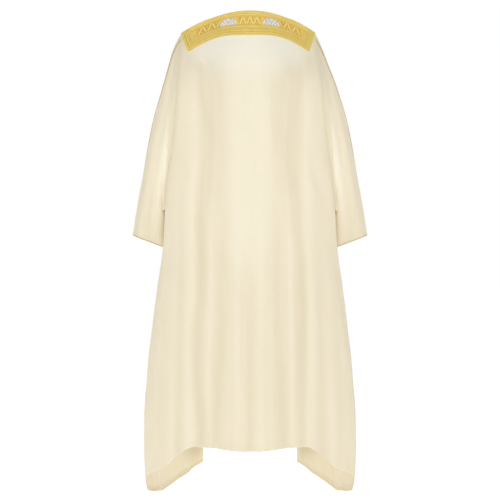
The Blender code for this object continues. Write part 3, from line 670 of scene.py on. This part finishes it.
def toneMarks(key, grid):
    x, z = grid[..., 0], grid[..., 2]
    if key.startswith("sleeve"):
        share = np.broadcast_to(sleeveShares[:, None], x.shape)
        # painted light in the notch between the sleeve's underside and the body
        notch = bell((ringPlaces - underarmPlace + 1.5) / 4) * clamp(share * 5 - 0.4)
        # painted shade along the armhole seam and towards the mouth, and a little on the inside
        seam = toneLook["seam"] * bell(share / toneLook["sleeveSeam"])
        fold = np.maximum(toneLook["cuff"] * share ** 1.5 * (1 - notch), seam)
        return {"fold": (fold, 0.1), "paintedLight": (toneLook["notch"] * notch, 0)}
    # painted shade in the folds' troughs, by how deep they are
    lift = foldLift(backFolds if key == "back" else frontFolds, x, z)
    fold = toneLook["fold"] * clamp(-lift / toneLook["foldDepth"])
    paintedLight = 0 * x
    if key == "back":
        # painted light in the middle of the back, and a painted highlight on the folds' ridges
        half = readColumn(paintedLightZone, "half", z)
        inside = softStep((np.abs(x) - half) / (toneLook["soft"] * 0.5))
        paintedLight = inside * readColumn(paintedLightZone, "share", z) + np.clip(lift / 0.02, 0, 0.2)
        # painted shade in the tracks of the fronts' bands
        within = softStep((bandTrack["inner"] - np.abs(x)) / bandTrack["soft"])
        within = within * softStep((np.abs(x) - bandTrack["outer"]) / bandTrack["soft"])
        fold = np.maximum(fold, within * readColumn(bandTrack, "share", z))
        # painted shade along the back's armhole edges, above the underarm
        fromEdge = (x.max(axis=1, keepdims=True) - np.abs(x)) / toneLook["backSeam"]
        fold = np.maximum(fold, toneLook["seam"] * bell(fromEdge) * (z > cloak["underarm"]))
        shade = 0
    else:  # the shade inside the fronts, just under the corners of the back's hem
        (atX, atZ), (wide, high) = toneLook["cornerAt"], toneLook["cornerSize"]
        shade = toneLook["corner"] * np.exp(-(((np.abs(x) - atX) / wide) ** 2) - ((z - atZ) / high) ** 2)
    # the inner faces get a little painted light
    return {"fold": (fold, shade), "paintedLight": (paintedLight, 0.25)}


def sewPanels():  # thin shells over the panels' forms, each doubled inside at its turned hem
    made = {}
    for key, grid in panels.items():
        rows, columns = grid.shape[:2]
        isSleeve = key.startswith("sleeve")
        first = rows - 5 if isSleeve else stitchRow
        rim = np.broadcast_to(np.arange(rows)[:, None] >= first, (rows, columns)).astype(float)
        if key.startswith("front"):
            rim = np.maximum(rim, np.broadcast_to(np.arange(columns) >= columns - 5, (rows, columns)))
        thickness = clothThickness * (1 + rim)
        marks = toneMarks(key, grid)
        edge = np.broadcast_to(np.arange(rows)[:, None] >= rows - 5, (rows, columns)) * toneLook["edgeInside"]
        outside = 0 * rim if isSleeve else rim * toneLook["doubledOutside"]
        marks["doubled"] = (outside, np.maximum(edge, rim * toneLook["doubledInside"]))
        made[key] = addShell(key + "Cloth", grid, normalsOf[key], thickness, cream, isSleeve, marks)
    return made


cloths = sewPanels()
print("cloth cut and sewn")


# Threads: each function gives points and faces, and a Bundle joins many into one piece.
class Bundle:
    def __init__(self):
        self.points, self.faces, self.count = [], [], 0

    def add(self, points, faces):
        self.points.append(points)
        self.faces.append(faces + self.count)
        self.count += len(points)

    def make(self, name, material):
        faces = [list(dict.fromkeys(face)) for group in self.faces for face in group.tolist()]
        piece = addMesh(name, np.concatenate(self.points), faces, material)
        faceOut(piece)
        return piece


def squared(along, ups):  # the ways up and across, square to a thread
    up = unit(ups - along * np.sum(ups * along, axis=1, keepdims=True))
    return up, np.cross(along, up)


def roundOf(up, across, sides):
    turn = math.tau * np.arange(sides) / sides
    return np.cos(turn)[:, None] * up[:, None] + np.sin(turn)[:, None] * across[:, None]


def alongOf(path, closed=False):
    return unit(np.roll(path, -1, 0) - np.roll(path, 1, 0) if closed else np.gradient(path, axis=0))


def wallFaces(steps, rows, sides):  # the faces round a thread, from each of its rings to the next
    return [[a + s, a + (s + 1) % sides, b + (s + 1) % sides, b + s]
            for a, b in ((k * sides, (k + 1) % rows * sides) for k in range(steps)) for s in range(sides)]


def endFans(bases, sides):  # an end is closed by a fan of triangles
    return [[base, base + s, base + s + 1, base + s + 1] for base in bases for s in range(1, sides - 1)]


def rods(starts, ends, ups, radius, arch=0.0, sides=5, steps=(0, 0.12, 0.5, 0.88, 1)):
    # Short rounded threads, arched away from the cloth.
    starts, ends, ups = (np.asarray(x, float).reshape(-1, 3) for x in (starts, ends, ups))
    up, across = squared(unit(ends - starts), ups)
    steps = np.array(steps, float)
    swell = np.where((steps == 0) | (steps == 1), 0.4, 1.0)
    ring = roundOf(up, across, sides)
    middle = starts[:, None] + (ends - starts)[:, None] * steps[:, None]
    middle = middle + up[:, None] * (arch * np.sin(math.pi * steps))[:, None]
    points = middle[:, :, None] + ring[:, None] * (radius * swell)[:, None, None]
    count = len(steps)
    faces = np.array(wallFaces(count - 1, count, sides) + endFans((0, (count - 1) * sides), sides))
    offsets = np.arange(len(starts)) * count * sides
    return points.reshape(-1, 3), (offsets[:, None, None] + faces).reshape(-1, 4)


def tube(path, ups, radius, sides=5, closed=False):
    path = np.asarray(path, float)
    points = path[:, None] + roundOf(*squared(alongOf(path, closed), ups), sides) * radius
    rows = len(path)
    faces = wallFaces(rows if closed else rows - 1, rows, sides)
    if not closed:
        faces += endFans((0, (rows - 1) * sides), sides)
    return points.reshape(-1, 3), np.array(faces)


def runOf(path):  # the distance along a path at each of its points
    return np.concatenate([[0], np.cumsum(np.linalg.norm(np.diff(path, axis=0), axis=1))])


def evenly(path, ups, step, closed=False):  # the same path with points at even distances
    path, ups = np.asarray(path, float), np.asarray(ups, float)
    if closed:
        path, ups = np.vstack([path, path[:1]]), np.vstack([ups, ups[:1]])
    run = runOf(path)
    count = max(int(round(run[-1] / step)), 2)
    at = np.linspace(0, run[-1], count + 1)
    at = at[:-1] if closed else at
    points, normals = (np.stack([np.interp(at, run, values[:, k]) for k in range(3)], axis=1) for values in (path, ups))
    return points, unit(normals)


def twist(bundle, path, ups, radius, pitch, closed=False, sides=5, steps=6):  # a cord of two plies
    points, normals = evenly(path, ups, pitch / steps, closed)
    count = len(points)
    turns = round(count / steps) if closed else count / steps
    up, across = squared(alongOf(points, closed), normals)
    for start in (0, 0.5):
        turn = math.tau * (np.arange(count) * turns / count + start)
        out = np.cos(turn)[:, None] * up + np.sin(turn)[:, None] * across
        bundle.add(*tube(points + out * radius * 0.48, out, radius * 0.56, sides, closed))


def plait(bundle, path, ups, width, pitch, radius):  # a row of slanted threads that meet in arrowheads
    points, normals = evenly(path, ups, pitch)
    along = alongOf(points)
    across = np.cross(along, normals)
    for way in (1, -1):
        outside = points + across * way * width * 0.5 - along * pitch * 0.55
        inside = points + along * pitch * 0.45 + normals * radius * 0.5
        bundle.add(*rods(outside, inside, normals, radius, arch=radius * 0.7))


def satinBar(bundle, start, end, ups, halfWidth, radius, arch):  # threads laid side by side over padding
    length = np.linalg.norm(end - start)
    count = max(int(length / (radius * 1.7)), 2)
    share = np.linspace(0, 1, count + 1)[:, None]
    middle = start + (end - start) * share
    up = unit(ups[0] + (ups[1] - ups[0]) * share)
    across = np.cross(np.broadcast_to(unit(end - start), up.shape), up)
    reach = halfWidth * np.minimum(1, 0.55 + 3.0 * np.minimum(share, 1 - share))
    bundle.add(*rods(middle - across * reach, middle + across * reach, up, radius, arch))


# Stitches along hems and seams.
stitchLook = {"pitch": 0.0036, "length": 0.0025, "radius": 0.00026}


def stitches(bundle, path, ups, closed=False):
    points, normals = evenly(path, ups, stitchLook["pitch"], closed)
    along = alongOf(points)
    half = along * stitchLook["length"] * 0.5
    lifted = points + normals * stitchLook["radius"] * 0.5
    bundle.add(*rods(lifted - half, lifted + half, normals, stitchLook["radius"], stitchLook["radius"], 4,
                     (0, 0.2, 0.8, 1)))


def sewHems():
    pieces = {}
    for key, grid in panels.items():
        normals, thickness = normalsOf[key], 2 * clothThickness
        bundle = Bundle()
        isSleeve = key.startswith("sleeve")
        row = grid.shape[0] - 4 if isSleeve else stitchRow + 1
        for face, ups in ((0, normals), (thickness, -normals)):
            stitches(bundle, (grid - normals * face)[row], ups[row], isSleeve)
            if key.startswith("front"):
                stitches(bundle, (grid - normals * face)[:row, -5], ups[:row, -5])
            for column in {"back": (3, -4)}.get(key, () if isSleeve else (3,)):  # the side seam, below the underarm
                below = slice(len(placeSteps), row)
                stitches(bundle, (grid - normals * (face * 0.5))[below, column], ups[below, column])
        pieces[key] = bundle.make(key + "Stitches", creamThread)
    return pieces


hemStitches = sewHems()
print("hems and seams stitched")

# The gold band over the back neck and both shoulders. Distances along it are from the centre back.
yoke = {
    "width": 0.077,
    "endSlant": 0.185,
    "pinch": 0.09,
    "clear": 0.0005,
    "ground": 0.0011,
    "columns": 180,
    "rows": 26,
    "innerFrame": 0.0185,
    "pocketShade": 0.8,
    "pocketEnds": (0.0325, 0.086, 0.157),
}
# Rows of braid in millimetres: inset and drop, then a twist's radius.
framedTwists = [(1.3, 75.8, 1.3), (9.6, 67.2, 0.7)]
framedPlaits = [(5.4, 71.6), (13.4, 62.8)]
straightPlaits = [(23, 50.9), (22, 13.4)]
straightTwists = [(1.2, 1.3, 0.9), (23, 45.8, 0.7), (23, 18.4, 0.6)]
longThreads = [3.2, 4.6, 6.0, 7.4]  # the smooth strip at the top: drops of threads laid side by side
ornament = {"high": 0.0212, "low": 0.0432, "halfWidth": 0.0024, "thread": 0.0005, "arch": 0.0016}


def bandPoint(along, drop):
    along, drop = paired(along, drop)
    share = np.abs(along) * (1 - yoke["endSlant"] * drop / yoke["width"])
    pinch = 1 - yoke["pinch"] * np.sin(math.pi * np.minimum(np.abs(along), 1)) ** 2
    height = topOf(share * cloak["shoulderTurn"]) - drop * pinch
    return bodyPoint(share * edgeTurn(height), height, np.where(along >= 0, 1, -1), folded=False)


def bandNormal(along, drop):
    along, drop = paired(along, drop)
    step = 0.0008
    sides = bandPoint(along + step, drop) - bandPoint(along - step, drop)
    down = bandPoint(along, drop + step) - bandPoint(along, np.maximum(drop - step, 0))
    normal = unit(np.cross(sides, down))
    x = bandPoint(along, 0 * drop)[..., 0]
    slope = (shoulderLine(x + step) - shoulderLine(x - step)) / (2 * step)
    crest = unit(np.stack([-slope, 0 * x, np.ones_like(x)], axis=-1))
    share = clamp(1 - drop / 0.004) * clamp((np.abs(x) - cloak["neckHalf"]) / 0.01 + 1)
    return unit(normal * (1 - share[..., None]) + crest * share[..., None])


def onBand(along, drop, height=0.0):  # points over the band's ground, and which way is out there
    normal = bandNormal(along, drop)
    return bandPoint(along, drop) + normal * (yoke["clear"] + yoke["ground"] + height), normal


def alongAt(distance, drop):
    turn = np.arcsin(distance * math.sin(math.radians(cloak["shoulderTurn"])) / cloak["shoulderHalf"])
    slant = 1 - yoke["endSlant"] * drop / yoke["width"]
    return np.degrees(turn) / cloak["shoulderTurn"] / slant


def alongFromEnd(inset, drop):  # the place this far in from the band's end
    alongs = np.linspace(1, 0.7, 40)
    return np.interp(inset, runOf(bandPoint(alongs, drop)), alongs)


def straightRow(drop, inset):  # a row along the band, inset from both ends
    end = alongFromEnd(inset, drop)
    return np.linspace(end, -end, 160), np.full(160, drop)


def framedRow(inset, drop, top=0.004):  # up one end, along the lower edge and up the other end
    drops = np.linspace(top, drop, 24)
    ends = np.array([alongFromEnd(inset, d) for d in drops])
    alongs, flatDrops = straightRow(drop, inset)
    return (np.concatenate([ends, alongs[1:-1], -ends[::-1]]),
            np.concatenate([drops, flatDrops[1:-1], drops[::-1]]))


def yokeGround():  # the band's ground, with painted shade where it shows between the raised bars
    end = np.linspace(-1, 1, yoke["columns"] + 1)
    drops = np.linspace(0, yoke["width"], yoke["rows"] + 1)
    alongs, drops = np.meshgrid(end, drops)
    grid, normals = onBand(alongs, drops)
    turn = np.radians(np.abs(alongs) * (1 - yoke["endSlant"] * drops / yoke["width"]) * cloak["shoulderTurn"])
    distance = cloak["shoulderHalf"] * np.sin(turn) / math.sin(math.radians(cloak["shoulderTurn"]))
    centreEnd, sideStart, sideEnd = yoke["pocketEnds"]
    inZigzag = (distance < centreEnd) | (distance > sideStart) & (distance < sideEnd)
    # painted shade in the zigzag zones, where the ground shows between the raised bars
    pocketShade = inZigzag & (drops > ornament["high"] - 0.002) & (drops < ornament["low"] + 0.002)
    piece = addShell("yokeGround", grid, normals, yoke["ground"] * 0.9, goldGround,
                     marks={"pocketShade": (pocketShade * yoke["pocketShade"], 0)})
    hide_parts("yoke_band")
    return piece


def yokeRows():
    plain, bright = Bundle(), Bundle()
    for inset, drop, radius in framedTwists:
        twist(plain, *onBand(*framedRow(inset * 0.001, drop * 0.001), radius * 0.0006), radius * 0.001, 0.005)
    for inset, drop in framedPlaits:
        plait(plain, *onBand(*framedRow(inset * 0.001, drop * 0.001), 0.0006), 0.004, 0.0052, 0.0013)
    twist(bright, *onBand(*framedRow(yoke["innerFrame"], 0.057, 0.003), 0.0012), 0.0018, 0.006)
    for inset, drop in straightPlaits:
        plait(plain, *onBand(*straightRow(drop * 0.001, inset * 0.001), 0.0006), 0.0042, 0.0052, 0.0013)
    for inset, drop, radius in straightTwists:
        twist(plain, *onBand(*straightRow(drop * 0.001, inset * 0.001), radius * 0.0006), radius * 0.001, 0.005)
    for drop in longThreads:
        plain.add(*tube(*onBand(*straightRow(drop * 0.001, 0.0205), 0.0002), 0.0008))
    return plain.make("yokeBraidRows", goldBraid), bright.make("yokeFrameCord", goldBright)


# Raised bars between the rows: zigzags of gold, and two silver trapezoids with arrowheads on them.
zigzags = {
    "Centre": {"start": -0.0315, "end": 0.0315, "legs": 6, "startsLow": True},
    "Left": {"start": 0.087, "end": 0.156, "legs": 5, "startsLow": False},
    "Right": {"start": -0.087, "end": -0.156, "legs": 5, "startsLow": False},
}
knot = {"inset": 0.0035, "reach": 0.0018, "halfWidth": 0.002, "gap": 0.14}
plate = {"inner": 0.036, "outer": 0.0918, "slope": 0.0125, "top": 0.0212, "bottom": 0.043, "pitch": 0.00125,
         "points": 16, "thread": 0.0007, "barHalfWidth": 0.0021, "barHeight": 0.0008}
endBlock = {"drops": np.arange(0.0225, 0.044, 0.005), "inset": 0.0245, "inner": 0.162, "width": 0.0046,
            "pitch": 0.003, "thread": 0.0008}
# Silver bars: distance and drop at both ends, in millimetres.
silverBars = [
    ((50.4, 23.4), (62.6, 41.2)), ((77.6, 23.4), (65.4, 41.2)),
    ((58.4, 23.0), (69.6, 23.0)), ((60.6, 28.0), (67.4, 28.0)),
    ((46.0, 27.6), (39.8, 41.2)), ((82.4, 27.6), (88.4, 41.2)),
    ((49.6, 34.4), (53.0, 41.2)), ((78.4, 34.4), (75.0, 41.2)),
]


def bandBar(bundle, first, last, halfWidth, height=0.0):
    distances, drops = np.array([first, last]).T
    points, ups = onBand(alongAt(distances, drops), drops, height)
    satinBar(bundle, *points, ups, halfWidth, ornament["thread"], ornament["arch"])


def makeZigzags():
    for name, zigzag in zigzags.items():
        bundle = Bundle()
        leg = (zigzag["end"] - zigzag["start"]) / zigzag["legs"]
        for k in range(zigzag["legs"]):
            x = zigzag["start"] + leg * k
            goesUp = (k % 2 == 0) == zigzag["startsLow"]
            first, last = (ornament["low"], ornament["high"]) if goesUp else (ornament["high"], ornament["low"])
            gap = knot["gap"] * leg
            bandBar(bundle, (x + gap, first), (x + leg - gap, last), ornament["halfWidth"])
            if k < zigzag["legs"] - 1:  # a small knot sits in each pocket between two bars
                drop = ornament["low"] - knot["inset"] if goesUp else ornament["high"] + knot["inset"]
                bandBar(bundle, (x + leg - knot["reach"], drop), (x + leg + knot["reach"], drop), knot["halfWidth"])
        piece = bundle.make("zigzag" + name, goldBright)
        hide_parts("zigzag_" + name.lower())


def makePlates():
    for side, name in halves:
        ground, bars = Bundle(), Bundle()
        for drop in np.arange(plate["top"], plate["bottom"], plate["pitch"]):
            narrow = plate["slope"] * (plate["bottom"] - drop) / (plate["bottom"] - plate["top"])
            distances = np.linspace(plate["inner"] + narrow, plate["outer"] - narrow, plate["points"]) * side
            ground.add(*tube(*onBand(alongAt(distances, drop), drop, 0.0002), plate["thread"]))
        for bar in silverBars:
            first, last = ((side * x * 0.001, d * 0.001) for x, d in bar)
            bandBar(bars, first, last, plate["barHalfWidth"], plate["barHeight"])
        for piece, node in ((ground.make("silverGround" + name, silverGround), "silver_plate_"),
                            (bars.make("silverBars" + name, silverBraid), "silver_zigzag_")):
            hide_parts(node + name.lower())


def makeEndBlocks():  # the close plain braid between each frame's end and the zigzags
    bundle = Bundle()
    for side in (1, -1):
        for drop in endBlock["drops"]:
            outer, inner = alongFromEnd(endBlock["inset"], drop), alongAt(endBlock["inner"], drop)
            row = onBand(side * np.linspace(outer, inner, 12), drop, 0.0002)
            plait(bundle, *row, endBlock["width"], endBlock["pitch"], endBlock["thread"])
    piece = bundle.make("yokeEndBlocks", goldBraid)


for braid in (yokeGround(), *yokeRows()):
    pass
makeZigzags()
makePlates()
makeEndBlocks()
print("yoke band braided")

# The same band down both fronts, finished plainly: rows of braid beside the opening.
frontBand = {
    "width": 0.078,
    "end": -0.6,
    "flare": 0.023,
    "flareReach": 0.12,
    "columns": 40,
    "rows": 110,
    "twists": [(0.012, 0.9), (0.135, 0.55), (0.36, 0.6), (0.64, 0.6), (0.865, 0.55), (0.988, 0.9)],
    "plaits": [0.075, 0.925, 0.25, 0.75],
    "threads": np.linspace(0.42, 0.58, 8),
}


def frontBandPoint(across, share, side):
    across, share = paired(across, share)

    def turnAt(z):
        inner = frontTurn(z)
        angle = np.radians(inner)
        depth = readColumn(levels, "frontDepth", z)
        pace = np.hypot(ringHalfWidth(z) * np.cos(angle), depth * np.sin(angle))
        flare = clamp(1 + (z + cloak["shoulderDrop"]) / frontBand["flareReach"])
        width = frontBand["width"] + frontBand["flare"] * flare
        outer = np.minimum(inner + np.degrees(width / pace), cloak["shoulderTurn"])
        return 180 - (inner + (outer - inner) * across)

    top = heightAtDrop(turnAt, 0.0)
    z = top + (frontBand["end"] - top) * share
    return bodyPoint(turnAt(z), z, side)


def onFrontBand(across, share, side, height=0.0):
    across, share = paired(across, share)
    step = 0.002
    sides = frontBandPoint(across + step, share, side) - frontBandPoint(across - step, share, side)
    low, high = clamp(share - step), clamp(share + step)
    down = frontBandPoint(across, high, side) - frontBandPoint(across, low, side)
    normal = unit(np.cross(down, sides)) * side
    return frontBandPoint(across, share, side) + normal * (yoke["clear"] + yoke["ground"] + height), normal


def makeFrontBand(side, name):
    shares = np.linspace(0, 1, frontBand["rows"] + 1) ** 1.3
    alongs, downs = np.meshgrid(np.linspace(0, 1, frontBand["columns"] + 1), shares)
    grid, normals = onFrontBand(alongs, downs, side)
    ground = addShell("frontBandGround" + name, grid, normals, yoke["ground"] * 0.9, goldGround)
    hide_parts("front_band_" + name.lower())
    bundle = Bundle()
    down = np.linspace(0.002, 0.985, 150)
    for across, radius in frontBand["twists"]:
        twist(bundle, *onFrontBand(across, down, side, radius * 0.0006), radius * 0.001, 0.005, sides=4, steps=5)
    for across in frontBand["plaits"]:
        plait(bundle, *onFrontBand(across, down, side, 0.0004), 0.0044, 0.0048, 0.0012)
    for across in frontBand["threads"]:
        bundle.add(*tube(*onFrontBand(across, down, side, 0.0002), 0.0008, 4))
    twist(bundle, *onFrontBand(np.linspace(0.01, 0.99, 40), 0.996, side, 0.0005), 0.0009, 0.005)
    braid = bundle.make("frontBandBraid" + name, goldBraid)


for side, name in halves:
    makeFrontBand(side, name)
print("front bands braided")

# Thin gold cords: down the top of each sleeve and round its mouth.
cordLook = {"overarm": 0.0012, "cuff": 0.0017, "clear": 0.0005, "pitch": 0.006}
overarmCord = {"share": [0.0, 0.14, 0.3, 0.45, 0.61, 1.0], "place": [3.2, 2.6, 1.4, 0.1, -0.7, -0.9]}


def makeCords(name):
    grid, normals = panels["sleeve" + name], normalsOf["sleeve" + name]
    places = readColumn(overarmCord, "place", sleeveShares)
    count = len(ringPlaces)
    placeList = np.append(ringPlaces, 2 * underarmPlace)
    columns = np.interp(places % (2 * underarmPlace), placeList, np.arange(count + 1))
    low = np.floor(columns).astype(int)
    part = (columns - low)[:, None]
    rows, high = np.arange(len(grid)), (low + 1) % count
    low = low % count
    path = grid[rows, low] * (1 - part) + grid[rows, high] * part
    ups = unit(normals[rows, low] * (1 - part) + normals[rows, high] * part)
    path = path + ups * (cordLook["overarm"] + cordLook["clear"])
    edge = grid[-1] - normals[-1] * clothThickness + unit(grid[-1] - grid[-2]) * (cordLook["cuff"] + 0.0002)
    for kind, line, out in (("overarm", path, ups), ("cuff", edge, normals[-1])):
        bundle = Bundle()
        twist(bundle, line, out, cordLook[kind], cordLook["pitch"], closed=kind == "cuff")
        cord = bundle.make(kind + "Cord" + name, goldCord)
        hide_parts(kind + "_cord_" + name.lower())


for _, name in halves:
    makeCords(name)
print("cords laid")


# What holds the look together: a level camera behind the cloak, soft lights and a pale floor.
studio = {
    "cameraDistance": 5.0,
    "cameraHeight": -0.7155,
    "pictureWidth": 1.51,
    "floorBelowHem": 0.035,
    "skyLight": 0.37,
    "floorGlow": 0.7,
    "lamps": [  # name, place, what it is aimed at, power and size
        ("key", (0.25, 4.2, 1.9), (0, 0, -0.45), 28, 1.1),
        ("front", (0, 4.6, -1.2), (0, 0, -0.9), 12, 0.5),
        ("sideLight", (3.4, 1.6, 1.6), (0, 0, -0.7), 21, 1.4),
        ("sideLight", (-3.4, 1.6, 1.6), (0, 0, -0.7), 21, 1.4),
        ("fill", (0.4, -4.2, 1.2), (0, 0, -0.7), 22, 2.6),
    ],
}


def addLamp(name, place, aim, power, size):
    lamp = bpy.data.lights.new(name, "AREA")
    lamp.energy, lamp.size, lamp.shape = power, size, "DISK"
    holder = bpy.data.objects.new(name, lamp)
    holder.location = place
    holder.rotation_euler = (Vector(aim) - Vector(place)).to_track_quat("-Z", "Y").to_euler()
    bpy.context.scene.collection.objects.link(holder)


def setStudio():
    scene = bpy.context.scene
    camera = bpy.data.cameras.new("camera")
    camera.sensor_width = 36
    camera.lens = camera.sensor_width * studio["cameraDistance"] / studio["pictureWidth"]
    holder = bpy.data.objects.new("camera", camera)
    holder.location = (0, studio["cameraDistance"], studio["cameraHeight"])
    holder.rotation_euler = (math.radians(90), 0, math.radians(180))
    scene.collection.objects.link(holder)
    scene.camera = holder
    scene.view_settings.view_transform = "Standard"
    world = bpy.data.worlds.new("studio")
    scene.world = world
    world.use_nodes = True
    nodes, links = world.node_tree.nodes, world.node_tree.links
    shown, lit, pick, ray = (nodes.new("ShaderNode" + kind) for kind in
                             ("Background", "Background", "MixShader", "LightPath"))
    shown.inputs["Strength"].default_value = 1.0
    shown.inputs["Color"].default_value = lit.inputs["Color"].default_value = (1, 1, 1, 1)
    lit.inputs["Strength"].default_value = studio["skyLight"]
    links.new(ray.outputs["Is Camera Ray"], pick.inputs[0])
    links.new(lit.outputs[0], pick.inputs[1])
    links.new(shown.outputs[0], pick.inputs[2])
    links.new(pick.outputs[0], nodes["World Output"].inputs["Surface"])
    for lamp in studio["lamps"]:
        addLamp(*lamp)
    finish = Finish("paleFloor", Roughness=0.95)
    finish.set(finish.shader, {"Base Color": (0.93, 0.93, 0.93), "Emission Color": (1, 1, 1),
                               "Emission Strength": studio["floorGlow"], "Specular IOR Level": 0.1})
    height = float(cadLow[2]) - studio["floorBelowHem"]
    mesh = bpy.data.meshes.new("floor")
    count, radius = 64, 30
    rim = [(radius * math.cos(math.tau * k / count), radius * math.sin(math.tau * k / count), height)
           for k in range(count)]
    mesh.from_pydata(rim, [], [list(range(count))])
    mesh.materials.append(finish.material)
    floor = bpy.data.objects.new("floor", mesh)
    scene.collection.objects.link(floor)


setStudio()
print("studio set")

# What each sheet of cloth was cut to: its node, width and length in metres, flat area, and what it hangs from.
cuts = {
    "back": ("back_panel", (0.82, 1.47), 0.81, ["yokeGround"]),
    "frontLeft": ("front_left", (0.27, 1.49), 0.235, ["backCloth"]),
    "frontRight": ("front_right", (0.27, 1.49), 0.235, ["backCloth"]),
    "sleeveLeft": ("sleeve_left", (0.36, 0.67), 0.15, ["backCloth", "frontLeftCloth"]),
    "sleeveRight": ("sleeve_right", (0.36, 0.67), 0.15, ["backCloth", "frontRightCloth"]),
}
for key, (node, flat, area, hangsFrom) in cuts.items():
    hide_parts(node)
